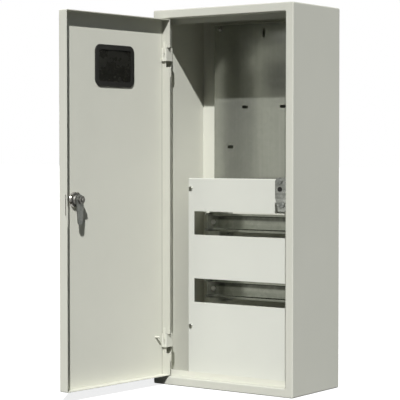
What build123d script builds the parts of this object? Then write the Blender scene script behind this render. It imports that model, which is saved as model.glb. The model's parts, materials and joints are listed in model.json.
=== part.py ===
# Wall-mounting steel meter and distribution enclosure with an inset door.
# Millimetres. X runs to the right, Y from front to back, Z up.
# The origin is the centre of the cabinet's bottom face.
import os

from build123d import *

# Cabinet
cabinet_width = 310.0
cabinet_height = 700.0
cabinet_depth = 160.0
cabinet_sheet = 1.2
front_flange = 16.0  # flat rim around the door
rebate_depth = 20.0  # from the rim back to the door stop
stop_lip = 10.0  # width of the door stop
rear_return = 14.0  # rim that the back panel is welded to
outer_corner_radius = 2.5
opening_corner_radius = 2.0
front_bend_radius = 2.0
rear_bend_radius = 3.0
back_panel_sheet = 1.2
back_panel_gap = 2.0  # from the side walls, clear of their rear bend
wall_hole_radius = 4.5
wall_hole_from_side = 75.0
wall_hole_from_end = 60.0

# Cable entries, pressed knock-outs in the bottom and the top
knockout_radius = 14.0
knockout_groove_width = 1.0
knockout_groove_depth = 0.6
knockout_spacing = 70.0
bottom_knockouts = 4
top_knockouts = 2

# Door, a folded pan that sits in the rebate
door_gap = 1.8
door_proud = 3.0  # the door's face stands this far in front of the rim
door_depth = 19.0
door_sheet = 1.2
door_corner_radius = 2.0
door_bend_radius = 2.0
door_open_angle = 93.5

# Lift-off hinges: a goose-neck from the door stop reaches round the door's flange to a pin
# in the corner of the pan. The open flange is notched to let the goose-neck through.
hinge_from_end = 82.5  # middle of the goose-neck, from the cabinet's top and bottom
hinge_leaf_height = 24.5
hinge_leaf_sheet = 1.2
hinge_barrel_radius = 2.2
hinge_barrel_clearance = 0.3
hinge_axial_gap = 0.3
hinge_lift_room = 11.5  # free notch below the goose-neck, so that the door lifts off
hinge_notch_from_face = 9.5  # bottom of the notch, from the door's outer face
hinge_notch_headroom = 0.6
hinge_pin_radius = 1.2
hinge_pin_press = 0.02
hinge_pin_running = 0.05
hinge_pin_end_gap = 1.5
frame_barrel_height = 14.0
goose_neck_arm_height = 6.0
goose_neck_overhang = 5.0  # past the edge of the door stop
door_leaf_height = 22.0
door_leaf_from_notch = 0.6
leaf_bend_radius = 1.0

# Window: dark pane in a rubber section that grips the door's sheet
window_width = 94.5
window_height = 66.8
window_corner_radius = 9.0
window_from_door_top = 58.0  # top edge of the hole
window_offset = -3.5  # towards the hinges
seal_overlap = 4.0
seal_inner_depth = 2.5
seal_outer_depth = 2.5
seal_web = 5.0
pane_thickness = 3.0
pane_overlap = 2.5
pane_fit = 0.05

# Quarter-turn lock
lock_from_free_edge = 36.0
lock_height = 352.5
lock_head_radius = 13.0
lock_head_depth = 3.0
lock_barrel_radius = 9.0
lock_length = 13.0  # from the door's outer face
lock_nut_radius = 13.6
lock_nut_depth = 6.0
lock_nut_notches = 6
lock_nut_notch_width = 4.0
lock_nut_notch_depth = 1.6
lock_plug_radius = 6.0
lock_running = 0.05
lock_collar_radius = 7.5
lock_collar_depth = 1.3
lock_axial_gap = 0.3
lock_square = 8.0
cam_sheet = 2.0
cam_length = 44.0
cam_hub_radius = 9.0
cam_tip_radius = 5.5
cam_slot_clearance = 0.4  # round the cam in the door's flange and in the rebate
cam_stud_radius = 3.5
cam_stud_end = 3.5  # past the nut
cam_nut_flats = 13.0
cam_nut_depth = 5.0
key_pocket_radius = 3.6
key_pocket_depth = 7.0
key_pin_radius = 1.5
key_slot_width = 2.2
key_slot_reach = 5.0

# Keeper bracket on the right-hand wall at the height of the lock
keeper_sheet = 1.5
keeper_setback = 30.0  # from the rim
keeper_reach = 56.0  # from the side wall
keeper_height = 61.0
keeper_rise = 7.0  # middle of the bracket above the lock's axis
keeper_foot = 16.0
keeper_bend_radius = 2.0
keeper_corner_radius = 8.0
keeper_taper_width = 7.0  # cut from the lower corner of the tip
keeper_taper_height = 24.0
buffer_from_tip = 10.5  # rubber buffer in the bracket
buffer_from_top = 21.0
buffer_radius = 4.2
buffer_proud = 1.5
buffer_fit = 0.1
buffer_flange_radius = 6.5
buffer_flange_depth = 2.0
keeper_top_screw_from_tip = 10.0
keeper_top_screw_from_top = 7.0
keeper_low_screw_from_tip = 15.0
keeper_low_screw_from_bottom = 11.5
keeper_screw_radius = 2.5
keeper_screw_length = 10.0
keeper_screw_head_radius = 5.2
keeper_screw_head_depth = 2.8
keeper_nut_flats = 8.0
keeper_nut_depth = 4.0

# Meter plate on studs at the back
plate_side_gap = 37.0  # from the cabinet's sides
plate_spacer_length = 12.4
plate_sheet = 1.2
plate_flange = 8.0
plate_bend_radius = 1.6
plate_top_gap = 20.0  # below the cabinet's top
plate_overlap = 13.0  # hidden behind the inner cover
plate_stud_inset = 15.0  # from the plate's side edge
plate_stud_from_end = 8.0
plate_stud_radius = 2.5
plate_stud_reach = 8.0  # in front of the plate
plate_spacer_radius = 5.0
plate_nut_flats = 8.0
plate_nut_depth = 4.0
meter_slots_offset = -2.5  # middle of the slots from the plate's middle
meter_slot_width = 6.0
meter_top_slot_length = 17.0
meter_top_slot_from_top = 19.0  # middle of the slot below the plate's top edge
meter_side_slot_length = 14.0
small_meter_spacing = 86.0
small_meter_drop = 139.5  # from the top slot
large_meter_spacing = 154.0
large_meter_drop = 215.5

# Rows of modular devices
lower_row_height = 173.0
row_pitch = 128.0
row_slot_side_gap = 42.0  # from the cabinet's sides
row_slot_height = 45.0
row_slot_corner_radius = 1.0

# Inner cover
cover_setback = 72.0
cover_sheet = 1.0
cover_side_clearance = 2.0  # from the clear opening, so that it comes out through it
cover_above_floor = 6.0
cover_above_rows = 85.0  # from the upper row's middle
cover_flange = 14.0
cover_bend_radius = 1.5
cover_screw_inset = 6.5
cover_screw_from_top = 19.5
cover_screw_from_bottom = 97.0
cover_screw_radius = 2.0
cover_screw_length = 12.0
cover_screw_head_radius = 4.0
cover_screw_head_depth = 2.4
screw_slot_width = 1.2
screw_slot_depth = 1.0
pillar_flats = 8.0

# Top-hat rails and the uprights that carry them
rail_width = 35.0
rail_depth = 7.5
rail_throat = 25.0  # inside width of the hat
rail_sheet = 1.0
rail_side_gap = 36.0  # from the cabinet's sides
rail_bend_radius = 0.6
upright_from_side = 51.0
upright_depth = 33.1  # from the back panel to the rail
upright_web = 22.0
upright_foot = 10.0
upright_sheet = 1.5
upright_bend_radius = 1.0
upright_past_rows = 26.0
rail_screw_radius = 2.5
rail_screw_length = 9.0
rail_screw_head_radius = 4.6
rail_screw_head_depth = 2.8

# Earthing studs, a bare one on the door and one with a nut on the back panel
door_earth_radius = 2.0
door_earth_length = 11.0
door_earth_from_edge = 22.0
door_earth_height = 90.5
earth_stud_radius = 3.0
earth_stud_length = 16.0
earth_nut_flats = 10.0
earth_nut_depth = 5.0
earth_washer_radius = 6.0
earth_washer_depth = 1.2
body_earth_from_middle = 30.0
body_earth_height = 60.0

thread_fit = 0.02  # between a thread's core and its hole
screw_clearance = 0.2  # round a screw that passes through a plain hole

# Places that follow from the sizes above
half_width = cabinet_width / 2
middle_height = cabinet_height / 2
front_y = -cabinet_depth / 2
back_y = cabinet_depth / 2
side_inner_x = half_width - cabinet_sheet
opening_width = cabinet_width - 2 * front_flange
opening_height = cabinet_height - 2 * front_flange
clear_width = opening_width - 2 * stop_lip
clear_height = opening_height - 2 * stop_lip
lip_y = front_y + rebate_depth
panel_y = back_y - cabinet_sheet - back_panel_sheet
door_width = opening_width - 2 * door_gap
door_height = opening_height - 2 * door_gap
door_left = -door_width / 2
door_right = door_width / 2
door_top = middle_height + door_height / 2
door_y = front_y - door_proud
door_inner_y = door_y + door_sheet
hinge_inset = door_sheet + hinge_barrel_clearance + hinge_barrel_radius
hinge_x = door_left + hinge_inset
hinge_y = door_y + hinge_inset
hinge_line = Axis((hinge_x, hinge_y, 0), (0, 0, 1))
rebate_x = -opening_width / 2
goose_neck_x = rebate_x + stop_lip + goose_neck_overhang
lock_x = door_right - lock_from_free_edge
lock_end_y = door_y + lock_length
collar_y = lock_end_y + lock_axial_gap
cam_y = collar_y + lock_collar_depth
upper_row_height = lower_row_height + row_pitch
row_heights = (lower_row_height, upper_row_height)
cover_y = front_y + cover_setback
cover_width = clear_width - 2 * cover_side_clearance
cover_bottom = cabinet_sheet + cover_above_floor
cover_top = upper_row_height + cover_above_rows
plate_y = panel_y - plate_spacer_length - plate_sheet
plate_width = cabinet_width - 2 * plate_side_gap
plate_bottom = cover_top - plate_overlap
plate_top = cabinet_height - plate_top_gap
rail_back_y = panel_y - upright_depth
rail_y = rail_back_y - rail_depth
rail_length = cabinet_width - 2 * rail_side_gap
row_slot_width = cabinet_width - 2 * row_slot_side_gap
upright_from_middle = half_width - upright_from_side
keeper_y = front_y + keeper_setback
keeper_tip_x = side_inner_x - keeper_reach
keeper_z = lock_height + keeper_rise

middle = Pos(0, middle_height)


def wall_plane(x, y, z):
    # Plane seen from the front: its first axis is X, its second is Z
    return Plane(origin=(x, y, z), x_dir=(1, 0, 0), z_dir=(0, -1, 0))


def facing(profile, y, thickness):
    # Profile drawn in X and Z, made solid from y backwards
    return extrude(wall_plane(0, y, 0) * profile, amount=-thickness)


def ring(outer_width, outer_height, inner_width, inner_height, outer_radius, inner_radius):
    outer = RectangleRounded(outer_width, outer_height, outer_radius)
    inner = RectangleRounded(inner_width, inner_height, inner_radius)
    return middle * (outer - inner)


def round_bar(radius, x, z, y, length):
    # Cylinder along Y that starts at y
    return facing(Pos(x, z) * Circle(radius), y, length)


def hex_bar(flats, x, z, y, length):
    profile = Pos(x, z) * RegularPolygon(flats / 2, 6, major_radius=False, rotation=30)
    return facing(profile, y, length)


def hex_nut(flats, bore_radius, x, z, y, depth):
    return hex_bar(flats, x, z, y, depth) - round_bar(bore_radius, x, z, y, depth)


def slotted_screw(radius, head_radius, head_depth, length, x, z, y):
    # Cheese-head screw along Y: the head lies in front of y, the shank behind it
    head = round_bar(head_radius, x, z, y - head_depth, head_depth)
    head = fillet(head.edges().group_by(Axis.Y)[0], head_depth / 3)
    slot = Pos(x, z) * Rectangle(2 * head_radius, screw_slot_width)
    head -= facing(slot, y - head_depth, screw_slot_depth)
    return head + round_bar(radius, x, z, y, length)


def upright_solid(profile, z, height):
    # Profile drawn in X and Y, made solid from z upwards
    return extrude(Pos(0, 0, z) * profile, amount=height)


def folded_strip(points, sheet, inside_radius, side):
    # Section of a folded sheet that lies on one side of the line through the points
    line = FilletPolyline(*points, radius=inside_radius + sheet)
    return make_face(offset(line, amount=sheet, side=side).edges())


def swung(solid):
    # From the shut door's place to the open door's
    return solid.rotate(hinge_line, -door_open_angle)


def outline_edges(solid, y):
    # Edges at y that run along the cabinet's outer walls
    def on_outline(edge):
        place = edge.center()
        side = half_width - abs(place.X)
        end = middle_height - abs(place.Z - middle_height)
        return abs(place.Y - y) < 0.01 and min(side, end) < 2 * cabinet_sheet

    return solid.edges().filter_by(on_outline)


# Cabinet

def make_cabinet_shell():
    inner_width = cabinet_width - 2 * cabinet_sheet
    inner_height = cabinet_height - 2 * cabinet_sheet
    inner_radius = outer_corner_radius - cabinet_sheet
    walls = ring(cabinet_width, cabinet_height, inner_width, inner_height, outer_corner_radius, inner_radius)
    rim = ring(cabinet_width, cabinet_height, opening_width, opening_height,
               outer_corner_radius, opening_corner_radius)
    sleeve_width = opening_width + 2 * cabinet_sheet
    sleeve_height = opening_height + 2 * cabinet_sheet
    sleeve_radius = opening_corner_radius + cabinet_sheet
    sleeve = ring(sleeve_width, sleeve_height, opening_width, opening_height,
                  sleeve_radius, opening_corner_radius)
    stop = ring(sleeve_width, sleeve_height, clear_width, clear_height, sleeve_radius, opening_corner_radius)
    rear_rim = ring(cabinet_width, cabinet_height, cabinet_width - 2 * rear_return,
                    cabinet_height - 2 * rear_return, outer_corner_radius, opening_corner_radius)
    shell = facing(walls, front_y, cabinet_depth)
    shell += facing(rim, front_y, cabinet_sheet)
    shell += facing(sleeve, front_y, rebate_depth + cabinet_sheet)
    shell += facing(stop, lip_y, cabinet_sheet)
    shell += facing(rear_rim, back_y - cabinet_sheet, cabinet_sheet)
    shell = fillet(outline_edges(shell, back_y - cabinet_sheet), rear_bend_radius - cabinet_sheet)
    shell = fillet(outline_edges(shell, back_y), rear_bend_radius)
    shell = fillet(shell.edges().group_by(Axis.Y)[0], front_bend_radius)
    return shell - make_knockout_grooves() - cam_slot(opening_width / 2, cabinet_sheet)


def make_knockout_grooves():
    outer = Circle(knockout_radius + knockout_groove_width / 2)
    inner = Circle(knockout_radius - knockout_groove_width / 2)
    groove = extrude(outer - inner, amount=knockout_groove_depth)
    grooves = Part()
    for spot in GridLocations(knockout_spacing, 0, bottom_knockouts, 1):
        grooves += spot * groove
    for spot in GridLocations(knockout_spacing, 0, top_knockouts, 1):
        grooves += Pos(0, 0, cabinet_height - knockout_groove_depth) * spot * groove
    return grooves


def make_back_panel():
    width = 2 * (side_inner_x - back_panel_gap)
    height = cabinet_height - 2 * (cabinet_sheet + back_panel_gap)
    profile = middle * Rectangle(width, height)
    hole_spread_x = cabinet_width - 2 * wall_hole_from_side
    hole_spread_z = cabinet_height - 2 * wall_hole_from_end
    for spot in GridLocations(hole_spread_x, hole_spread_z, 2, 2):
        profile -= middle * spot * Circle(wall_hole_radius)
    return facing(profile, panel_y, back_panel_sheet)


# Door

def make_door_panel():
    face = middle * RectangleRounded(door_width, door_height, door_corner_radius)
    flange = ring(door_width, door_height, door_width - 2 * door_sheet, door_height - 2 * door_sheet,
                  door_corner_radius, door_corner_radius - door_sheet)
    pan = facing(face, door_y, door_sheet) + facing(flange, door_y, door_depth)
    pan = fillet(pan.edges().group_by(Axis.Y)[0], door_bend_radius)
    window = window_outline(0)
    pan -= facing(window, door_y, door_sheet)
    pan -= round_bar(lock_barrel_radius, lock_x, lock_height, door_y, door_sheet)
    notch_depth = door_depth - hinge_notch_from_face
    notch_height = hinge_lift_room + hinge_leaf_height + hinge_notch_headroom
    notch = Rectangle(door_sheet, notch_depth, align=(Align.MIN, Align.MIN))
    for leaf_bottom in hinge_leaf_bottoms():
        place = Pos(door_left, door_y + hinge_notch_from_face)
        pan -= upright_solid(place * notch, leaf_bottom - hinge_lift_room, notch_height)
    return pan - cam_slot(door_right - door_sheet, door_sheet)


def hinge_leaf_bottoms():
    half_leaf = hinge_leaf_height / 2
    return (hinge_from_end - half_leaf, cabinet_height - hinge_from_end - half_leaf)


def window_outline(grow):
    width = window_width + 2 * grow
    height = window_height + 2 * grow
    height_middle = door_top - window_from_door_top - window_height / 2
    return Pos(window_offset, height_middle) * RectangleRounded(width, height, window_corner_radius + grow)


def make_window_seal():
    inner_flap = facing(window_outline(seal_overlap), door_inner_y, seal_inner_depth)
    inner_flap = fillet(inner_flap.edges().group_by(Axis.Y)[-1], seal_inner_depth / 3)
    outer_flap = facing(window_outline(seal_overlap), door_y - seal_outer_depth, seal_outer_depth)
    outer_flap = fillet(outer_flap.edges().group_by(Axis.Y)[0], seal_outer_depth / 3)
    web = facing(window_outline(0), door_y, door_sheet)
    seal_y = door_y - seal_outer_depth
    full_depth = seal_outer_depth + door_sheet + seal_inner_depth
    seal = inner_flap + web + outer_flap
    seal -= facing(window_outline(-seal_web), seal_y, full_depth)
    return seal - facing(window_outline(pane_overlap - seal_web), pane_y(), pane_thickness)


def pane_y():
    return door_y + (door_sheet + seal_inner_depth - seal_outer_depth - pane_thickness) / 2


def make_window_pane():
    outline = window_outline(pane_overlap - seal_web - pane_fit)
    return facing(outline, pane_y() + pane_fit, pane_thickness - 2 * pane_fit)


# Hinges

def hinge_bar(radius, z, height):
    return upright_solid(Pos(hinge_x, hinge_y) * Circle(radius), z, height)


def make_frame_leaf(leaf_bottom):
    # Foot on the door stop, side plate forward, arm back to the barrel in the lower part
    arm_y = hinge_y - hinge_barrel_radius
    points = [(rebate_x, lip_y), (goose_neck_x, lip_y), (goose_neck_x, arm_y), (hinge_x, arm_y)]
    section = folded_strip(points, hinge_leaf_sheet, leaf_bend_radius, Side.RIGHT)
    leaf = upright_solid(section, leaf_bottom, hinge_leaf_height)
    swing_radius = goose_neck_x - hinge_leaf_sheet - hinge_barrel_clearance - hinge_x
    relief_height = hinge_leaf_height - goose_neck_arm_height
    leaf -= hinge_bar(swing_radius, leaf_bottom + goose_neck_arm_height, relief_height)
    leaf += hinge_bar(hinge_barrel_radius, leaf_bottom, frame_barrel_height)
    return leaf - hinge_bar(hinge_pin_radius + hinge_pin_press, leaf_bottom, frame_barrel_height)


def make_door_leaf(leaf_bottom):
    # Strip on the flange, with the barrel that sits on top of the goose-neck's
    barrel_z = leaf_bottom + frame_barrel_height + hinge_axial_gap
    barrel_height = leaf_bottom + hinge_leaf_height - barrel_z
    strip_reach = hinge_notch_from_face - door_leaf_from_notch - hinge_inset
    strip = Pos(door_left + door_sheet, hinge_y) * Rectangle(hinge_leaf_sheet, strip_reach,
                                                             align=(Align.MIN, Align.MIN))
    leaf = upright_solid(strip, barrel_z, door_leaf_height)
    leaf += hinge_bar(hinge_barrel_radius, barrel_z, barrel_height)
    return swung(leaf - hinge_bar(hinge_pin_radius + hinge_pin_running, barrel_z, barrel_height))


def make_hinge_pin(leaf_bottom):
    pin = hinge_bar(hinge_pin_radius, leaf_bottom, hinge_leaf_height - hinge_pin_end_gap)
    return chamfer(pin.edges().group_by(Axis.Z)[-1], hinge_pin_radius / 4)


# Lock

def make_lock_barrel():
    head = round_bar(lock_head_radius, lock_x, lock_height, door_y - lock_head_depth, lock_head_depth)
    head = chamfer(head.edges().group_by(Axis.Y)[0], lock_head_depth / 3)
    body = head + round_bar(lock_barrel_radius, lock_x, lock_height, door_y, lock_length)
    bore_length = lock_head_depth + lock_length
    bore = lock_plug_radius + lock_running
    return body - round_bar(bore, lock_x, lock_height, door_y - lock_head_depth, bore_length)


def make_lock_nut():
    # Round nut with notches for a hook spanner
    nut = round_bar(lock_nut_radius, lock_x, lock_height, door_inner_y, lock_nut_depth)
    nut = chamfer(nut.edges().group_by(Axis.Y)[-1], lock_nut_depth / 8)
    notch = Rectangle(2 * lock_nut_notch_depth, lock_nut_notch_width)
    for spot in PolarLocations(lock_nut_radius, lock_nut_notches, start_angle=180 / lock_nut_notches):
        nut -= facing(Pos(lock_x, lock_height) * spot * notch, door_inner_y, lock_nut_depth)
    return nut - round_bar(lock_barrel_radius + thread_fit, lock_x, lock_height, door_inner_y, lock_nut_depth)


def make_lock_plug():
    plug_y = door_y - lock_head_depth
    plug = round_bar(lock_plug_radius, lock_x, lock_height, plug_y, cam_y - plug_y)
    plug += round_bar(lock_collar_radius, lock_x, lock_height, collar_y, lock_collar_depth)
    square = Pos(lock_x, lock_height) * Rectangle(lock_square, lock_square)
    plug += facing(square, cam_y, cam_sheet)
    stud = round_bar(cam_stud_radius, lock_x, lock_height, cam_y + cam_sheet, cam_nut_depth + cam_stud_end)
    plug += chamfer(stud.edges().group_by(Axis.Y)[-1], cam_stud_radius / 5)
    pocket = Circle(key_pocket_radius) + Rectangle(2 * key_slot_reach, key_slot_width)
    pocket -= Circle(key_pin_radius)
    return plug - facing(Pos(lock_x, lock_height) * pocket, plug_y, key_pocket_depth)


def make_lock_cam():
    hub = Circle(cam_hub_radius)
    tip = Pos(0, cam_tip_radius - cam_length) * Circle(cam_tip_radius)
    blade = make_hull((hub + tip).edges())
    blade -= Rectangle(lock_square + 2 * thread_fit, lock_square + 2 * thread_fit)
    return facing(Pos(lock_x, lock_height) * blade, cam_y, cam_sheet)


def make_cam_nut():
    return hex_nut(cam_nut_flats, cam_stud_radius + thread_fit, lock_x, lock_height, cam_y + cam_sheet,
                   cam_nut_depth)


def cam_slot(wall_x, wall_sheet):
    # Slot in an upright wall for the cam, which comes in from below and turns level
    reach = (cam_length**2 - (wall_x - lock_x) ** 2) ** 0.5
    slot_bottom = lock_height - reach - cam_slot_clearance
    slot_top = lock_height + cam_hub_radius + cam_slot_clearance
    slot_depth = cam_sheet + 2 * cam_slot_clearance
    section = Pos(wall_x, cam_y - cam_slot_clearance) * Rectangle(wall_sheet, slot_depth,
                                                                  align=(Align.MIN, Align.MIN))
    return upright_solid(section, slot_bottom, slot_top - slot_bottom)


def make_keeper():
    wall_x = side_inner_x
    points = [(keeper_tip_x, keeper_y), (wall_x, keeper_y), (wall_x, keeper_y + keeper_foot)]
    section = folded_strip(points, keeper_sheet, keeper_bend_radius, Side.LEFT)
    bottom = keeper_z - keeper_height / 2
    bracket = upright_solid(section, bottom, keeper_height)
    tip_edges = bracket.edges().filter_by(Axis.Y).group_by(Axis.X)[0].sort_by(Axis.Z)
    bracket = fillet(tip_edges[-1], keeper_corner_radius)
    corner = Polyline((keeper_tip_x, bottom), (keeper_tip_x + keeper_taper_width, bottom),
                      (keeper_tip_x, bottom + keeper_taper_height), close=True)
    bracket -= facing(make_face(corner), keeper_y, keeper_sheet)
    buffer_x, buffer_z = buffer_place()
    bracket -= round_bar(buffer_radius + buffer_fit, buffer_x, buffer_z, keeper_y, keeper_sheet)
    for x, z in keeper_screw_places():
        bracket -= round_bar(keeper_screw_radius + thread_fit, x, z, keeper_y, keeper_sheet)
    return bracket


def buffer_place():
    return keeper_tip_x + buffer_from_tip, keeper_z + keeper_height / 2 - buffer_from_top


def make_keeper_buffer():
    x, z = buffer_place()
    plug = round_bar(buffer_radius, x, z, keeper_y - buffer_proud, buffer_proud + keeper_sheet)
    return plug + round_bar(buffer_flange_radius, x, z, keeper_y + keeper_sheet, buffer_flange_depth)


def keeper_screw_places():
    top_z = keeper_z + keeper_height / 2 - keeper_top_screw_from_top
    low_z = keeper_z - keeper_height / 2 + keeper_low_screw_from_bottom
    top_x = keeper_tip_x + keeper_top_screw_from_tip
    low_x = keeper_tip_x + keeper_low_screw_from_tip
    return [(top_x, top_z), (low_x, low_z)]


def make_keeper_screws():
    return [slotted_screw(keeper_screw_radius, keeper_screw_head_radius, keeper_screw_head_depth,
                          keeper_screw_length, x, z, keeper_y) for x, z in keeper_screw_places()]


def make_keeper_nuts():
    bore = keeper_screw_radius + thread_fit
    nut_y = keeper_y + keeper_sheet
    return [hex_nut(keeper_nut_flats, bore, x, z, nut_y, keeper_nut_depth) for x, z in keeper_screw_places()]


# Meter plate

def plate_stud_places():
    spread_x = plate_width - 2 * plate_stud_inset
    spread_z = plate_top - plate_bottom - 2 * plate_stud_from_end
    centre = Pos(0, (plate_bottom + plate_top) / 2)
    return [(centre * spot).position for spot in GridLocations(spread_x, spread_z, 2, 2)]


def make_meter_plate():
    height = plate_top - plate_bottom
    profile = Pos(0, (plate_bottom + plate_top) / 2) * Rectangle(plate_width, height)
    top_slot = Pos(meter_slots_offset, plate_top - meter_top_slot_from_top)
    side_slot = SlotOverall(meter_side_slot_length, meter_slot_width)
    profile -= top_slot * SlotOverall(meter_top_slot_length, meter_slot_width, rotation=90)
    for spacing, drop in ((small_meter_spacing, small_meter_drop), (large_meter_spacing, large_meter_drop)):
        for spot in GridLocations(spacing, 0, 2, 1):
            profile -= top_slot * Pos(0, -drop) * spot * side_slot
    for place in plate_stud_places():
        profile -= Pos(place.X, place.Y) * Circle(plate_stud_radius + screw_clearance)
    plate = facing(profile, plate_y, plate_sheet)
    half = plate_width / 2
    flange = Rectangle(plate_sheet, plate_flange)
    for side in (-1, 1):
        place = Pos(side * (half - plate_sheet / 2), plate_y + plate_flange / 2)
        plate += upright_solid(place * flange, plate_bottom, height)
    bends = plate.edges().filter_by(Axis.Z).group_by(Axis.Y)[0]
    bends = bends.filter_by(lambda edge: abs(edge.center().X) > half - plate_sheet / 2)
    return fillet(bends, plate_bend_radius)


def make_plate_studs():
    start = plate_y - plate_stud_reach
    return [round_bar(plate_stud_radius, place.X, place.Y, start, panel_y - start)
            for place in plate_stud_places()]


def make_plate_spacers():
    start = plate_y + plate_sheet
    bore = plate_stud_radius + thread_fit
    return [round_bar(plate_spacer_radius, place.X, place.Y, start, panel_y - start)
            - round_bar(bore, place.X, place.Y, start, panel_y - start) for place in plate_stud_places()]


def make_plate_nuts():
    start = plate_y - plate_nut_depth
    bore = plate_stud_radius + thread_fit
    return [hex_nut(plate_nut_flats, bore, place.X, place.Y, start, plate_nut_depth)
            for place in plate_stud_places()]


# Inner cover

def cover_screw_places():
    x = cover_width / 2 - cover_screw_inset
    heights = (cover_bottom + cover_screw_from_bottom, cover_top - cover_screw_from_top)
    return [(side * x, z) for side in (-1, 1) for z in heights]


def make_inner_cover():
    height = cover_top - cover_bottom
    centre = Pos(0, (cover_bottom + cover_top) / 2)
    outer = Rectangle(cover_width, height)
    inner = Rectangle(cover_width - 2 * cover_sheet, height - 2 * cover_sheet)
    pan = facing(centre * outer, cover_y, cover_sheet)
    pan += facing(centre * (outer - inner), cover_y, cover_flange)
    pan = fillet(pan.edges().group_by(Axis.Y)[0], cover_bend_radius)
    for row in row_heights:
        slot = Pos(0, row) * RectangleRounded(row_slot_width, row_slot_height, row_slot_corner_radius)
        pan -= facing(slot, cover_y, cover_sheet)
    for x, z in cover_screw_places():
        pan -= round_bar(cover_screw_radius + screw_clearance, x, z, cover_y, cover_sheet)
    return pan


def make_cover_screws():
    return [slotted_screw(cover_screw_radius, cover_screw_head_radius, cover_screw_head_depth,
                          cover_screw_length, x, z, cover_y) for x, z in cover_screw_places()]


def make_cover_pillars():
    start = cover_y + cover_sheet
    bore = cover_screw_radius + thread_fit
    bore_depth = cover_screw_length + cover_screw_radius
    return [hex_bar(pillar_flats, x, z, start, panel_y - start) - round_bar(bore, x, z, start, bore_depth)
            for x, z in cover_screw_places()]


# Rails

def upright_centres():
    return (-upright_from_middle, upright_from_middle)


def make_rail(row):
    # Drawn along Y and Z, with the hat's brim at the front
    brim_z = rail_width / 2
    throat_z = rail_throat / 2
    back = rail_depth - rail_sheet
    points = [(0, brim_z), (0, throat_z), (back, throat_z), (back, -throat_z), (0, -throat_z), (0, -brim_z)]
    line = FilletPolyline(*points, radius=rail_bend_radius + rail_sheet)
    section = make_face(offset(line, amount=rail_sheet, side=Side.LEFT).edges())
    plane = Plane(origin=(-rail_length / 2, rail_y, row), x_dir=(0, 1, 0), z_dir=(1, 0, 0))
    rail = extrude(plane * section, amount=rail_length)
    for x in upright_centres():
        rail -= round_bar(rail_screw_radius + screw_clearance, x, row, rail_y, 2 * rail_depth)
    return rail


def make_upright(x):
    half_web = upright_web / 2
    foot_x = half_web + upright_foot
    web_y = rail_back_y + upright_sheet
    points = [(x - foot_x, panel_y), (x - half_web, panel_y), (x - half_web, web_y), (x + half_web, web_y),
              (x + half_web, panel_y), (x + foot_x, panel_y)]
    line = FilletPolyline(*points, radius=upright_bend_radius + upright_sheet)
    section = make_face(offset(line, amount=upright_sheet, side=Side.RIGHT).edges())
    bottom = lower_row_height - upright_past_rows
    height = row_pitch + 2 * upright_past_rows
    upright = upright_solid(section, bottom, height)
    for row in row_heights:
        upright -= round_bar(rail_screw_radius + thread_fit, x, row, web_y - upright_sheet, 3 * upright_sheet)
    return upright


def make_rail_screws():
    web_front_y = rail_back_y - rail_sheet
    return [slotted_screw(rail_screw_radius, rail_screw_head_radius, rail_screw_head_depth,
                          rail_screw_length, x, row, web_front_y)
            for x in upright_centres() for row in row_heights]


# Earthing studs

def make_door_earth_stud():
    x = door_left + door_earth_from_edge
    stud = round_bar(door_earth_radius, x, door_earth_height, door_inner_y, door_earth_length)
    return chamfer(stud.edges().group_by(Axis.Y)[-1], door_earth_radius / 4)


def make_body_earth_stud():
    start = panel_y - earth_stud_length
    return round_bar(earth_stud_radius, -body_earth_from_middle, body_earth_height, start, earth_stud_length)


def make_body_earth_nut():
    # Washer and nut
    x = -body_earth_from_middle
    bore = earth_stud_radius + thread_fit
    washer_y = panel_y - earth_washer_depth
    washer = round_bar(earth_washer_radius, x, body_earth_height, washer_y, earth_washer_depth)
    washer -= round_bar(bore, x, body_earth_height, washer_y, earth_washer_depth)
    nut_y = washer_y - earth_nut_depth
    return [washer, hex_nut(earth_nut_flats, bore, x, body_earth_height, nut_y, earth_nut_depth)]


def make_all():
    lower_leaf, upper_leaf = hinge_leaf_bottoms()
    return {
        "cabinet_shell": make_cabinet_shell(),
        "back_panel": make_back_panel(),
        "door_panel": swung(make_door_panel()),
        "window_seal": swung(make_window_seal()),
        "window_pane": swung(make_window_pane()),
        "upper_hinge_frame_leaf": make_frame_leaf(upper_leaf),
        "upper_hinge_door_leaf": make_door_leaf(upper_leaf),
        "upper_hinge_pin": make_hinge_pin(upper_leaf),
        "lower_hinge_frame_leaf": make_frame_leaf(lower_leaf),
        "lower_hinge_door_leaf": make_door_leaf(lower_leaf),
        "lower_hinge_pin": make_hinge_pin(lower_leaf),
        "lock_barrel": swung(make_lock_barrel()),
        "lock_nut": swung(make_lock_nut()),
        "lock_plug": swung(make_lock_plug()),
        "lock_cam": swung(make_lock_cam()),
        "lock_cam_nut": swung(make_cam_nut()),
        "keeper_bracket": make_keeper(),
        "keeper_buffer": make_keeper_buffer(),
        "keeper_screws": make_keeper_screws(),
        "keeper_nuts": make_keeper_nuts(),
        "meter_plate": make_meter_plate(),
        "meter_plate_studs": make_plate_studs(),
        "meter_plate_spacers": make_plate_spacers(),
        "meter_plate_nuts": make_plate_nuts(),
        "inner_cover": make_inner_cover(),
        "cover_screws": make_cover_screws(),
        "cover_pillars": make_cover_pillars(),
        "upper_rail": make_rail(upper_row_height),
        "lower_rail": make_rail(lower_row_height),
        "left_rail_upright": make_upright(-upright_from_middle),
        "right_rail_upright": make_upright(upright_from_middle),
        "rail_screws": make_rail_screws(),
        "door_earth_stud": swung(make_door_earth_stud()),
        "body_earth_stud": make_body_earth_stud(),
        "body_earth_nut": make_body_earth_nut(),
    }


os.makedirs("parts", exist_ok=True)
for node, shape in make_all().items():
    solid_group = Compound(children=shape) if isinstance(shape, list) else shape
    export_step(solid_group, f"parts/{node}.step")
    print(node, "written")
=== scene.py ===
import json
import math

import bmesh
import bpy
from mathutils import Euler, Matrix, Vector


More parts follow.
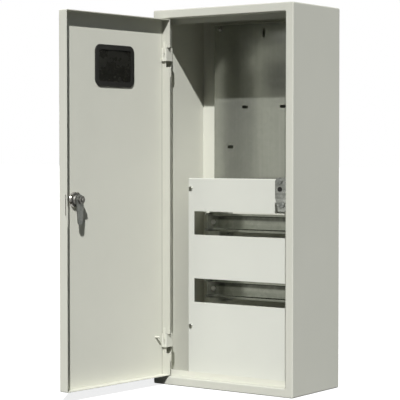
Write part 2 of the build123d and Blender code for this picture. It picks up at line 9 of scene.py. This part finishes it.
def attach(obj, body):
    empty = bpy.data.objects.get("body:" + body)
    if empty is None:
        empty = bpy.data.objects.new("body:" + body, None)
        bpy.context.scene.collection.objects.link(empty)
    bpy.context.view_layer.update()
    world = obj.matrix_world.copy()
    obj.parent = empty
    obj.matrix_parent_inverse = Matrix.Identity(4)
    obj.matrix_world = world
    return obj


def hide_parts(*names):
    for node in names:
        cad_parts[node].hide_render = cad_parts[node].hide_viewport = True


# lengths are in metres, in the frame of the CAD part
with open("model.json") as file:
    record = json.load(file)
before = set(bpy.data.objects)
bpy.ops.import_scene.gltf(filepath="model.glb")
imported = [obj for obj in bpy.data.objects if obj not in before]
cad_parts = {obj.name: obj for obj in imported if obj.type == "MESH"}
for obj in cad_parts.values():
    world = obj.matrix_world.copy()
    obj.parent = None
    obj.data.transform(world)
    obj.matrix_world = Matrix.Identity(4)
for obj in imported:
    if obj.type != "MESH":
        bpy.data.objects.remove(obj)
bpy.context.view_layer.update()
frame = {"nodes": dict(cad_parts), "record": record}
nodes = frame["nodes"]
print("frame loaded:", len(nodes), "nodes")


# shading helpers

def newMaterial(name):
    mat = bpy.data.materials.new(name)
    mat.use_nodes = True
    tree = mat.node_tree
    shader = tree.nodes["Principled BSDF"]
    return mat, tree, shader


def addNode(tree, kind, **settings):
    # what starts with in_ goes to the socket of that name
    node = tree.nodes.new(kind)
    for key, value in settings.items():
        if key.startswith("in_"):
            node.inputs[key[3:].replace("_", " ")].default_value = value
        else:
            setattr(node, key, value)
    return node


def objectCoords(tree, stretch=(1, 1, 1)):
    coord = addNode(tree, "ShaderNodeTexCoord")
    mapping = addNode(tree, "ShaderNodeMapping", in_Scale=stretch)
    tree.links.new(coord.outputs["Object"], mapping.inputs["Vector"])
    return mapping.outputs["Vector"]


def splitAxes(tree, vector):
    node = addNode(tree, "ShaderNodeSeparateXYZ")
    tree.links.new(vector, node.inputs["Vector"])
    return node.outputs["X"], node.outputs["Y"], node.outputs["Z"]


def calc(tree, operation, *values):
    node = addNode(tree, "ShaderNodeMath", operation=operation)
    for place, value in enumerate(values):
        if isinstance(value, bpy.types.NodeSocket):
            tree.links.new(value, node.inputs[place])
        else:
            node.inputs[place].default_value = value
    return node.outputs[0]


def remap(tree, value, low, high, toLow, toHigh):
    node = addNode(tree, "ShaderNodeMapRange", in_From_Min=low, in_From_Max=high,
                   in_To_Min=toLow, in_To_Max=toHigh)
    tree.links.new(value, node.inputs["Value"])
    return node.outputs["Result"]


def ramp(tree, value, place, blend, below=0.0, above=1.0):
    # soft step at a place
    return remap(tree, value, place - blend, place + blend, below, above)


def noise(tree, vector, scale, detail, roughness):
    node = addNode(tree, "ShaderNodeTexNoise", in_Scale=scale, in_Detail=detail, in_Roughness=roughness)
    tree.links.new(vector, node.inputs["Vector"])
    return node.outputs["Fac"]


def patches(tree, vector, low, high, toLow=0.0, toHigh=1.0, **texture):
    # noise from low to high, spread from toLow to toHigh
    return remap(tree, noise(tree, vector, **texture), low, high, toLow, toHigh)


def addGrain(tree, shader, vector, strength, depth, **texture):
    # fine unevenness of a surface
    node = addNode(tree, "ShaderNodeBump", in_Strength=strength, in_Distance=depth)
    tree.links.new(noise(tree, vector, **texture), node.inputs["Height"])
    tree.links.new(node.outputs["Normal"], shader.inputs["Normal"])


def mixColour(tree, factor, first, second, blend="MIX"):
    # a mix of colours has its factor in socket 0, its colours in 6 and 7, its result in 2
    node = addNode(tree, "ShaderNodeMix", data_type="RGBA", blend_type=blend)
    for socket, value in ((0, factor), (6, first), (7, second)):
        if isinstance(value, bpy.types.NodeSocket):
            tree.links.new(value, node.inputs[socket])
        elif socket == 0:
            node.inputs[socket].default_value = value
        else:
            node.inputs[socket].default_value = (*value, 1.0)
    return node.outputs[2]


# powder coat on the cabinet, the door and the inner cover
paintSettings = dict(
    colour=(0.612, 0.612, 0.540),
    shade=(0.588, 0.590, 0.520),
    cloud=dict(scale=5.0, detail=4.0, roughness=0.6, low=0.35, high=0.65),
    gloss=dict(scale=40.0, detail=3.0, roughness=0.6, low=0.3, high=0.7, toLow=0.42, toHigh=0.56),
    peel=dict(scale=520.0, detail=2.0, roughness=0.5, strength=0.35, depth=0.00006),
    specular=0.12,
)
# painted light: the door and the inner cover take lighter copies of the powder coat, which stand in for
# light on their faces
doorPaintAddedLightSettings = dict(
    paintSettings,
    colour=(0.678, 0.678, 0.598),
    shade=(0.652, 0.653, 0.574),
    hingeEdge=-0.0798,  # where the flange starts on Y, with the door open
    hingeBlend=0.001,
    # painted shade: how dark the flange on the hinge side is made
    hingeShadeTone=0.79,
)
coverPaintAddedLightSettings = dict(
    paintSettings,
    colour=(0.634, 0.642, 0.588),
    shade=(0.617, 0.625, 0.572),
)


def paintHingeSideShade(tree, vector, tint, settings):
    # the flange beside the hinges is darker in the photo
    # painted shade: the base colour is darkened on the hinge-side flange, by its place on Y
    depth = splitAxes(tree, vector)[1]
    edge = settings["hingeEdge"]
    tone = remap(tree, depth, edge - settings["hingeBlend"], edge, 1.0, settings["hingeShadeTone"])
    grey = addNode(tree, "ShaderNodeCombineColor")
    for channel in ("Red", "Green", "Blue"):
        tree.links.new(tone, grey.inputs[channel])
    return mixColour(tree, 1.0, tint, grey.outputs["Color"], "MULTIPLY")


def makePaint(name, settings):
    mat, tree, shader = newMaterial(name)
    vector = objectCoords(tree)
    cloud = patches(tree, vector, **settings["cloud"])
    tint = mixColour(tree, cloud, settings["shade"], settings["colour"])
    # painted shade on the hinge-side flange
    if "hingeShadeTone" in settings:
        tint = paintHingeSideShade(tree, vector, tint, settings)
    tree.links.new(tint, shader.inputs["Base Color"])
    tree.links.new(patches(tree, vector, **settings["gloss"]), shader.inputs["Roughness"])
    addGrain(tree, shader, vector, **settings["peel"])
    shader.inputs["Specular IOR Level"].default_value = settings["specular"]
    return mat


# galvanised sheet: crystals and rolling streaks
zincSheetSettings = dict(
    bright=(0.432, 0.442, 0.394),
    dull=(0.362, 0.371, 0.330),
    metallic=0.72,
    roughLow=0.16,
    roughHigh=0.24,
    spangleScale=140.0,
    spangleShare=0.35,
    streak=dict(scale=9.0, detail=4.0, roughness=0.6, low=0.3, high=0.7, toHigh=0.65),
    streakAxis=2,
    streakAlong=0.6,
    streakAcross=14.0,
    grain=dict(scale=900.0, detail=2.0, roughness=0.5, strength=0.2, depth=0.00003),
)
uprightSettings = dict(zincSheetSettings, metallic=0.45, roughLow=0.35, roughHigh=0.5)
bracketSettings = dict(
    zincSheetSettings,
    bright=(0.330, 0.338, 0.305),
    dull=(0.085, 0.088, 0.078),
    metallic=0.85,
    roughLow=0.22,
    roughHigh=0.38,
    streakAxis=0,
)
railSettings = dict(
    zincSheetSettings,
    bright=(0.455, 0.470, 0.432),
    dull=(0.285, 0.297, 0.270),
    metallic=1.0,
    roughLow=0.13,
    roughHigh=0.22,
    streakAxis=0,
    lowerRow=0.173,
    rowPitch=0.128,
    # painted shade: dark bands under the upper brim of each rail and at its ends
    bandLow=0.0050,
    bandLowBlend=0.0015,
    bandHigh=0.0128,
    bandHighBlend=0.0004,
    bandEnds=0.1010,
    bandEndsBlend=0.004,
    bandCloud=dict(scale=55.0, detail=4.0, roughness=0.6, low=0.25, high=0.6, toLow=0.75),
    shadeBandColour=(0.020, 0.020, 0.017),
    shadeBandDarkness=0.72,
)


def railShadeBands(tree, vector, settings):
    # the photo's dark bands: under the upper brim of each rail and at its ends
    # these bands are painted shade, darkening the rail's colour
    x, _, z = splitAxes(tree, vector)
    half = settings["rowPitch"] / 2
    height = calc(tree, "WRAP", calc(tree, "SUBTRACT", z, settings["lowerRow"]), half, -half)
    start = ramp(tree, height, settings["bandLow"], settings["bandLowBlend"])
    stop = ramp(tree, height, settings["bandHigh"], settings["bandHighBlend"], 1.0, 0.0)
    ends = ramp(tree, calc(tree, "ABSOLUTE", x), settings["bandEnds"], settings["bandEndsBlend"])
    either = calc(tree, "MAXIMUM", calc(tree, "MULTIPLY", start, stop), ends)
    cloud = patches(tree, vector, **settings["bandCloud"])
    return calc(tree, "MULTIPLY", calc(tree, "MULTIPLY", either, cloud), settings["shadeBandDarkness"])


def makeZincSheet(name, settings):
    mat, tree, shader = newMaterial(name)
    vector = objectCoords(tree)
    crystal = addNode(tree, "ShaderNodeTexVoronoi", feature="F1", in_Scale=settings["spangleScale"])
    tree.links.new(vector, crystal.inputs["Vector"])
    spangle = addNode(tree, "ShaderNodeSeparateColor")
    tree.links.new(crystal.outputs["Color"], spangle.inputs["Color"])
    stretch = [settings["streakAcross"]] * 3
    stretch[settings["streakAxis"]] = settings["streakAlong"]
    streak = patches(tree, objectCoords(tree, stretch), **settings["streak"])
    brightness = calc(tree, "MULTIPLY_ADD", spangle.outputs["Red"], settings["spangleShare"], streak)
    tint = mixColour(tree, brightness, settings["dull"], settings["bright"])
    # painted shade bands on the rails
    if "shadeBandDarkness" in settings:
        tint = mixColour(tree, railShadeBands(tree, vector, settings), tint, settings["shadeBandColour"])
    tree.links.new(tint, shader.inputs["Base Color"])
    shader.inputs["Metallic"].default_value = settings["metallic"]
    rough = remap(tree, brightness, 0.0, 1.0, settings["roughHigh"], settings["roughLow"])
    tree.links.new(rough, shader.inputs["Roughness"])
    addGrain(tree, shader, vector, **settings["grain"])
    return mat


# plated metal on the lock, screws, nuts, studs and pins
platedSettings = dict(
    bright=(0.52, 0.52, 0.49),
    dull=(0.30, 0.30, 0.27),
    metallic=1.0,
    roughLow=0.26,
    roughHigh=0.46,
    patch=dict(scale=160.0, detail=4.0, roughness=0.6, low=0.3, high=0.7),
    grain=dict(scale=1400.0, detail=2.0, roughness=0.5, strength=0.25, depth=0.00002),
)
lockMetalSettings = dict(
    platedSettings,
    bright=(0.62, 0.62, 0.59),
    dull=(0.44, 0.44, 0.41),
    roughLow=0.24,
    roughHigh=0.36,
)
lockZincSettings = dict(
    platedSettings,
    bright=(0.46, 0.445, 0.41),
    dull=(0.30, 0.29, 0.265),
    roughLow=0.30,
    roughHigh=0.40,
)
# painted shade: a darker copy of the plated zinc, for pieces and faces that stand in shade
shadeDarkZincSettings = dict(
    platedSettings,
    bright=(0.20, 0.197, 0.178),
    dull=(0.11, 0.108, 0.097),
    metallic=0.85,
    roughLow=0.36,
    roughHigh=0.54,
)
darkZincSettings = dict(
    platedSettings,
    bright=(0.27, 0.278, 0.255),
    dull=(0.15, 0.157, 0.145),
    metallic=0.7,
    roughLow=0.34,
    roughHigh=0.52,
)


def makePlated(name, settings):
    mat, tree, shader = newMaterial(name)
    vector = objectCoords(tree)
    patch = patches(tree, vector, **settings["patch"])
    tint = mixColour(tree, patch, settings["dull"], settings["bright"])
    tree.links.new(tint, shader.inputs["Base Color"])
    shader.inputs["Metallic"].default_value = settings["metallic"]
    rough = remap(tree, patch, 0.0, 1.0, settings["roughHigh"], settings["roughLow"])
    tree.links.new(rough, shader.inputs["Roughness"])
    addGrain(tree, shader, vector, **settings["grain"])
    return mat


# black rubber round the window and on the keeper
rubberSettings = dict(
    colour=(0.0065, 0.0065, 0.0052),
    dustColour=(0.0110, 0.0110, 0.0090),
    dust=dict(scale=60.0, detail=5.0, roughness=0.65, low=0.45, high=0.8),
    grain=dict(scale=1500.0, detail=2.0, roughness=0.6, strength=0.3, depth=0.00004),
    rough=0.66,
    specular=0.3,
)


def makeRubber(name, settings):
    mat, tree, shader = newMaterial(name)
    vector = objectCoords(tree)
    dust = patches(tree, vector, **settings["dust"])
    tint = mixColour(tree, dust, settings["colour"], settings["dustColour"])
    tree.links.new(tint, shader.inputs["Base Color"])
    addGrain(tree, shader, vector, **settings["grain"])
    shader.inputs["Roughness"].default_value = settings["rough"]
    shader.inputs["Specular IOR Level"].default_value = settings["specular"]
    return mat


# smoked pane in the window
paneSettings = dict(
    colour=(0.010, 0.010, 0.008),
    hazeColour=(0.020, 0.020, 0.017),
    haze=dict(scale=25.0, detail=5.0, roughness=0.6, low=0.4, high=0.7),
    roughClear=0.22,
    roughHazy=0.34,
    specular=0.3,
)


def makePane(name, settings):
    mat, tree, shader = newMaterial(name)
    vector = objectCoords(tree)
    haze = patches(tree, vector, **settings["haze"])
    tint = mixColour(tree, haze, settings["colour"], settings["hazeColour"])
    tree.links.new(tint, shader.inputs["Base Color"])
    rough = remap(tree, haze, 0.0, 1.0, settings["roughClear"], settings["roughHazy"])
    tree.links.new(rough, shader.inputs["Roughness"])
    shader.inputs["Specular IOR Level"].default_value = settings["specular"]
    return mat


paint = makePaint("powderCoat", paintSettings)
# painted light: the door and cover paints are lighter copies of the powder coat
doorPaintAddedLight = makePaint("doorPowderCoatAddedLight", doorPaintAddedLightSettings)
coverPaintAddedLight = makePaint("coverPowderCoatAddedLight", coverPaintAddedLightSettings)
zincPlate = makeZincSheet("galvanisedPlate", zincSheetSettings)
zincRail = makeZincSheet("galvanisedRail", railSettings)
zincBracket = makeZincSheet("galvanisedBracket", bracketSettings)
zincUpright = makeZincSheet("galvanisedPost", uprightSettings)
plated = makePlated("platedSteel", platedSettings)
lockMetal = makePlated("lockCasting", lockMetalSettings)
lockZinc = makePlated("lockNutZinc", lockZincSettings)
shadeDarkZinc = makePlated("shadeDarkZinc", shadeDarkZincSettings)
darkZinc = makePlated("dullZinc", darkZincSettings)
rubber = makeRubber("blackRubber", rubberSettings)
pane = makePane("smokedPane", paneSettings)
print("materials made")

# nodes that aren't named here are plated
finishes = {
    # the door and cover paints carry painted light, as lighter copies of the powder coat
    "cabinet_shell": paint, "back_panel": paint, "door_panel": doorPaintAddedLight, "inner_cover": coverPaintAddedLight,
    "upper_hinge_frame_leaf": paint, "lower_hinge_frame_leaf": paint,
    "upper_hinge_door_leaf": paint, "lower_hinge_door_leaf": paint,
    "door_earth_stud": paint,
    "window_seal": rubber, "window_pane": pane, "keeper_buffer": rubber,
    # the lock plug, the cam nut and the plate's studs and nuts take the darker zinc as painted shade
    "lock_barrel": lockMetal, "lock_nut": lockZinc, "lock_plug": shadeDarkZinc,
    "lock_cam": darkZinc, "lock_cam_nut": shadeDarkZinc,
    "meter_plate_nuts": shadeDarkZinc, "meter_plate_studs": shadeDarkZinc, "cover_screws": lockMetal,
    "keeper_bracket": zincBracket, "keeper_screws": darkZinc, "meter_plate": zincPlate,
    "upper_rail": zincRail, "lower_rail": zincRail,
    "left_rail_upright": zincUpright, "right_rail_upright": zincUpright,
}
for name, node in nodes.items():
    node.data.materials.clear()
    node.data.materials.append(finishes.get(name, plated))
print("finishes given to", len(nodes), "nodes")


# turned pieces: a profile spun about an axis, then shaped by angle
turnedSettings = dict(mergeDistance=1e-7, boreMargin=1e-5, sharpAngle=math.radians(32))


def turnedMesh(profile, steps, shape):
    # profile holds (place along the axis, radius), from axis to axis or round a closed loop
    near = turnedSettings["mergeDistance"]
    mesh = bmesh.new()
    points = [mesh.verts.new((radius, 0.0, place)) for place, radius in profile]
    ring = points[:1] if profile[0][1] > 0 else []
    chain = [mesh.edges.new(pair) for pair in zip(points, points[1:] + ring)]
    bmesh.ops.spin(mesh, geom=points + chain, cent=(0, 0, 0), axis=(0, 0, 1), dvec=(0, 0, 0),
                   angle=2 * math.pi, steps=steps, use_merge=True, use_normal_flip=False,
                   use_duplicate=False)
    bmesh.ops.remove_doubles(mesh, verts=mesh.verts, dist=near)
    for vert in mesh.verts:
        radius = math.hypot(vert.co.x, vert.co.y)
        if radius < near:
            continue
        wanted = shape(math.atan2(vert.co.y, vert.co.x), vert.co.z, radius)
        vert.co.x *= wanted / radius
        vert.co.y *= wanted / radius
    bmesh.ops.recalc_face_normals(mesh, faces=mesh.faces)
    return mesh


def markBeyond(mesh, place):
    # faces beyond this place on the axis take the piece's second material
    for face in mesh.faces:
        face.material_index = 1 if face.calc_center_median().z > place else 0
    return mesh


def turnedPiece(name, meshes, axis, *materials):
    # meshes holds (origin, mesh); local Z is laid along the axis
    whole = bmesh.new()
    turn = Vector((0, 0, 1)).rotation_difference(Vector(axis)).to_matrix().to_4x4()
    for origin, mesh in meshes:
        mesh.transform(Matrix.Translation(Vector(origin)) @ turn)
        part = bpy.data.meshes.new(name)
        mesh.to_mesh(part)
        whole.from_mesh(part)
        bpy.data.meshes.remove(part)
        mesh.free()
    data = bpy.data.meshes.new(name)
    whole.to_mesh(data)
    whole.free()
    data.shade_smooth()
    data.set_sharp_from_angle(angle=turnedSettings["sharpAngle"])
    for material in materials:
        data.materials.append(material)
    piece = bpy.data.objects.new(name, data)
    bpy.context.scene.collection.objects.link(piece)
    return piece


def standIn(piece, node, body):
    # the piece is shown in the node's place and moves with the body
    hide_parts(node)
    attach(piece, body)


def rows(start, stop, count):
    return [start + (stop - start) * step / count for step in range(count + 1)]


def threadShape(start, stop, coreRadius, pitch, depth):
    # triangular thread, cut into the crest and faded at both ends
    def shape(angle, place, radius):
        if radius < coreRadius or not start < place < stop:
            return radius
        turn = (place / pitch - angle / (2 * math.pi)) % 1.0
        fade = min(1.0, (place - start) / pitch, (stop - place) / pitch)
        return radius - depth * fade * (1.0 - abs(2.0 * turn - 1.0))
    return shape


# hexagon nuts: cones at 30 degrees from the end faces turn the corners down, to a share of the flats
hexSettings = dict(rows=24, steps=72, endShare=0.97, coneSlope=1.732)


def hexShape(flats, boreRadius, start, stop):
    def shape(angle, place, radius):
        if radius < boreRadius + turnedSettings["boreMargin"]:
            return radius
        sector = math.pi / 3
        offset = (angle + sector / 2) % sector - sector / 2
        flat = flats / 2 / math.cos(offset)
        end = min(place - start, stop - place)
        return min(flat, flats / 2 * hexSettings["endShare"] + end * hexSettings["coneSlope"])
    return shape


def hexNutMesh(start, stop, flats, bore):
    corner = flats / math.sqrt(3)
    profile = [(start, bore)]
    profile += [(place, corner) for place in rows(start, stop, hexSettings["rows"])]
    profile += [(stop, bore)]
    return turnedMesh(profile, hexSettings["steps"], hexShape(flats, bore, start, stop))


# lock: round nut with spanner notches, threaded barrel, hexagon nut on the cam
# headRound rounds the rim of the head, in shares of headEdge: back from the front, in from the rim
lockSettings = dict(
    headRadius=0.0130, headDepth=0.0030, headEdge=0.0010, bore=0.00605,
    headRound=((0.0, 1.6), (0.4, 0.6), (1.0, 0.1), (1.4, 0.0)),
    barrelRadius=0.0090, barrelEnd=0.0130, barrelEndEdge=0.0002, barrelSteps=72,
    pitch=0.0013, threadDepth=0.0006, threadRows=40, coreMargin=0.0002,
    rowsUnderNut=0.0004, threadUnderNut=0.0003,
    nutStart=0.0012, nutDepth=0.0060, nutRadius=0.0136, nutBore=0.00902, nutSteps=180,
    nutEdge=0.0008, nutRound=0.00024, nutRearEdge=0.0004, nutBoreEdge=0.0006,
    notches=6, notchWidth=0.0040, notchDepth=0.0016, notchTurn=math.radians(-10),
    rings=4, ringDepth=0.0004,
    camNutStart=0.0166, camNutDepth=0.0050, camNutFlats=0.0130, camNutBore=0.00352,
)


def lockBarrelMesh(settings):
    bore, head, barrel = settings["bore"], settings["headRadius"], settings["barrelRadius"]
    front, edge, barrelEnd = -settings["headDepth"], settings["headEdge"], settings["barrelEnd"]
    nutEnd = settings["nutStart"] + settings["nutDepth"]
    threadRows = rows(nutEnd - settings["rowsUnderNut"], barrelEnd - settings["barrelEndEdge"],
                      settings["threadRows"])
    profile = [(front, bore)]
    profile += [(front + edge * back, head - edge * inwards) for back, inwards in settings["headRound"]]
    profile += [(0.0, head), (0.0, barrel)]
    profile += [(place, barrel) for place in threadRows]
    profile += [(barrelEnd, barrel - settings["threadDepth"]), (barrelEnd, bore)]
    thread = threadShape(nutEnd - settings["threadUnderNut"], barrelEnd, barrel - settings["coreMargin"],
                         settings["pitch"], settings["threadDepth"])
    return markBeyond(turnedMesh(profile, settings["barrelSteps"], thread), settings["nutStart"])


def notchShape(settings):
    radius = settings["nutRadius"]
    sector = 2 * math.pi / settings["notches"]

    def shape(angle, place, current):
        if current < settings["nutBore"] + turnedSettings["boreMargin"]:
            return current
        offset = (angle - settings["notchTurn"] + sector / 2) % sector - sector / 2
        inside = abs(math.sin(offset)) * radius < settings["notchWidth"] / 2
        return min(current, radius - settings["notchDepth"]) if inside else current
    return shape


def lockNutMesh(settings):
    radius, bore, boreEdge = settings["nutRadius"], settings["nutBore"], settings["nutBoreEdge"]
    edge, rearEdge, rounding = settings["nutEdge"], settings["nutRearEdge"], settings["nutRound"]
    start, stop = settings["nutStart"], settings["nutStart"] + settings["nutDepth"]
    profile = [(start, bore), (start, radius - rearEdge), (start + rearEdge, radius)]
    for step, place in enumerate(rows(start + edge, stop - edge, settings["rings"] * 2)):
        profile.append((place, radius - settings["ringDepth"] * (step % 2)))
    profile += [(stop - rounding, radius - rounding), (stop, radius - edge)]
    profile += [(stop, bore + boreEdge), (stop - boreEdge, bore)]
    nut = turnedMesh(profile, settings["nutSteps"], notchShape(settings))
    return markBeyond(nut, stop - rearEdge)


def makeLockPieces(settings):
    turn = next(joint for joint in frame["record"]["behaviour"]["joints"] if joint["name"] == "lock_turn")
    origin, inward = turn["pos_m"], [-value for value in turn["axis"]]
    camNutEnd = settings["camNutStart"] + settings["camNutDepth"]
    camNutMesh = hexNutMesh(settings["camNutStart"], camNutEnd, settings["camNutFlats"],
                            settings["camNutBore"])
    # painted shade: the barrel's thread and the nut's end face take the darker zinc
    barrel = turnedPiece("lockBarrelThreaded", [(origin, lockBarrelMesh(settings))], inward,
                         lockMetal, shadeDarkZinc)
    nut = turnedPiece("lockNutNotched", [(origin, lockNutMesh(settings))], inward, lockZinc, shadeDarkZinc)
    camNut = turnedPiece("lockCamNutChamfered", [(origin, camNutMesh)], inward, shadeDarkZinc)
    standIn(barrel, "lock_barrel", "door")
    standIn(nut, "lock_nut", "door")
    standIn(camNut, "lock_cam_nut", "lock_rotor")


makeLockPieces(lockSettings)
print("lock pieces made")


# meter plate: threaded studs with chamfered nuts, at the places of the CAD studs
studSettings = dict(
    acrossX=0.103, lowZ=0.381, highZ=0.672, frontY=0.056,
    length=0.0216, radius=0.0025, endEdge=0.0006, steps=36,
    pitch=0.0008, threadDepth=0.0004, threadEnd=0.0044, threadRows=28, coreMargin=0.0001,
    nutStart=0.0040, nutDepth=0.0040, nutFlats=0.0080, nutBore=0.00252,
)


def plateStudMesh(settings):
    radius, length = settings["radius"], settings["length"]
    edge, threadEnd = settings["endEdge"], settings["threadEnd"]
    profile = [(0.0, 0.0), (0.0, radius - edge)]
    profile += [(place, radius) for place in rows(edge, threadEnd, settings["threadRows"])]
    profile += [(length, radius), (length, 0.0)]
    thread = threadShape(0.0, threadEnd, radius - settings["coreMargin"], settings["pitch"],
                         settings["threadDepth"])
    return turnedMesh(profile, settings["steps"], thread)


def makePlateStuds(settings):
    nutStart, nutEnd = settings["nutStart"], settings["nutStart"] + settings["nutDepth"]
    towardsWall = (0, 1, 0)
    studs, nuts = [], []
    for x in (-settings["acrossX"], settings["acrossX"]):
        for z in (settings["lowZ"], settings["highZ"]):
            origin = (x, settings["frontY"], z)
            nut = hexNutMesh(nutStart, nutEnd, settings["nutFlats"], settings["nutBore"])
            studs.append((origin, plateStudMesh(settings)))
            nuts.append((origin, nut))
    # painted shade: the plate's studs and nuts take the darker zinc
    studPiece = turnedPiece("plateStudsThreaded", studs, towardsWall, shadeDarkZinc)
    nutPiece = turnedPiece("plateNutsChamfered", nuts, towardsWall, shadeDarkZinc)
    standIn(studPiece, "meter_plate_studs", "cabinet")
    standIn(nutPiece, "meter_plate_nuts", "cabinet")


makePlateStuds(studSettings)
print("plate studs made")


# floor, sky and sun; the camera and mirrors see the pale floor and a white sky
stageSettings = dict(
    floorSize=60.0,
    floorDrop=0.0005,
    floorColour=(0.06, 0.06, 0.058),
    floorSeenColour=(0.50, 0.50, 0.495),
    floorGlow=0.80,
    floorRough=0.9,
    skyColour=(0.85, 0.96, 1.04),
    skyFront=0.04,
    skyBehind=0.20,
    skyBlend=0.3,
    sunTowards=(0.4180, -0.6362, 0.6484),
    sunStrength=4.56,
    sunAngle=0.8,  # degrees
)


def seenDirectly(tree):
    # 1 for rays from the camera, from mirrors and through glass
    path = addNode(tree, "ShaderNodeLightPath")
    direct = calc(tree, "MAXIMUM", path.outputs["Is Camera Ray"], path.outputs["Is Glossy Ray"])
    return calc(tree, "MAXIMUM", direct, path.outputs["Is Transmission Ray"])


def makeFloor(settings):
    bpy.ops.mesh.primitive_plane_add(size=settings["floorSize"], location=(0, 0, -settings["floorDrop"]))
    floor = bpy.context.object
    floor.name = "floor"
    mat, tree, shader = newMaterial("paleFloor")
    shader.inputs["Roughness"].default_value = settings["floorRough"]
    shader.inputs["Specular IOR Level"].default_value = 0.0
    seen = seenDirectly(tree)
    tint = mixColour(tree, seen, settings["floorColour"], settings["floorSeenColour"])
    tree.links.new(tint, shader.inputs["Base Color"])
    shader.inputs["Emission Color"].default_value = (1.0, 1.0, 1.0, 1.0)
    glow = calc(tree, "MULTIPLY", seen, settings["floorGlow"])
    tree.links.new(glow, shader.inputs["Emission Strength"])
    floor.data.materials.append(mat)


def makeSky(settings):
    world = bpy.data.worlds.new("sky")
    bpy.context.scene.world = world
    world.use_nodes = True
    tree = world.node_tree
    ambient = tree.nodes["Background"]
    ambient.inputs["Color"].default_value = (*settings["skyColour"], 1.0)
    # the sky is brighter behind the object than in front of it
    direction = addNode(tree, "ShaderNodeTexCoord").outputs["Generated"]
    depth = splitAxes(tree, direction)[1]
    strength = ramp(tree, depth, 0.0, settings["skyBlend"], settings["skyFront"], settings["skyBehind"])
    tree.links.new(strength, ambient.inputs["Strength"])
    white = addNode(tree, "ShaderNodeBackground", in_Strength=1.0, in_Color=(1.0, 1.0, 1.0, 1.0))
    mix = addNode(tree, "ShaderNodeMixShader")
    tree.links.new(seenDirectly(tree), mix.inputs[0])
    tree.links.new(ambient.outputs[0], mix.inputs[1])
    tree.links.new(white.outputs[0], mix.inputs[2])
    tree.links.new(mix.outputs[0], tree.nodes["World Output"].inputs["Surface"])


def makeSun(settings):
    lamp = bpy.data.lights.new("keyLight", "SUN")
    lamp.energy = settings["sunStrength"]
    lamp.angle = math.radians(settings["sunAngle"])
    sun = bpy.data.objects.new("keyLight", lamp)
    bpy.context.scene.collection.objects.link(sun)
    towards = Vector(settings["sunTowards"]).normalized()
    sun.rotation_euler = towards.to_track_quat("Z", "Y").to_euler()


# camera fitted to the photo: yaw and pitch in degrees, lens and sensor in millimetres
cameraSettings = dict(
    place=(1.5976, -2.3439, 0.4395),
    yaw=35.996,
    pitch=1.880,
    lens=137.113,
    sensor=36.0,
    farClip=100.0,
)


def makeCamera(settings):
    data = bpy.data.cameras.new("camera")
    data.lens = settings["lens"]
    data.sensor_width = settings["sensor"]
    data.clip_end = settings["farClip"]
    camera = bpy.data.objects.new("camera", data)
    camera.location = settings["place"]
    turn = (math.radians(90.0 - settings["pitch"]), 0.0, math.radians(settings["yaw"]))
    camera.rotation_euler = Euler(turn)
    bpy.context.scene.collection.objects.link(camera)
    bpy.context.scene.camera = camera


makeFloor(stageSettings)
makeSky(stageSettings)
makeSun(stageSettings)
makeCamera(cameraSettings)
bpy.context.scene.view_settings.view_transform = "Standard"
print("stage, light and camera set")

bpy.context.view_layer.update()
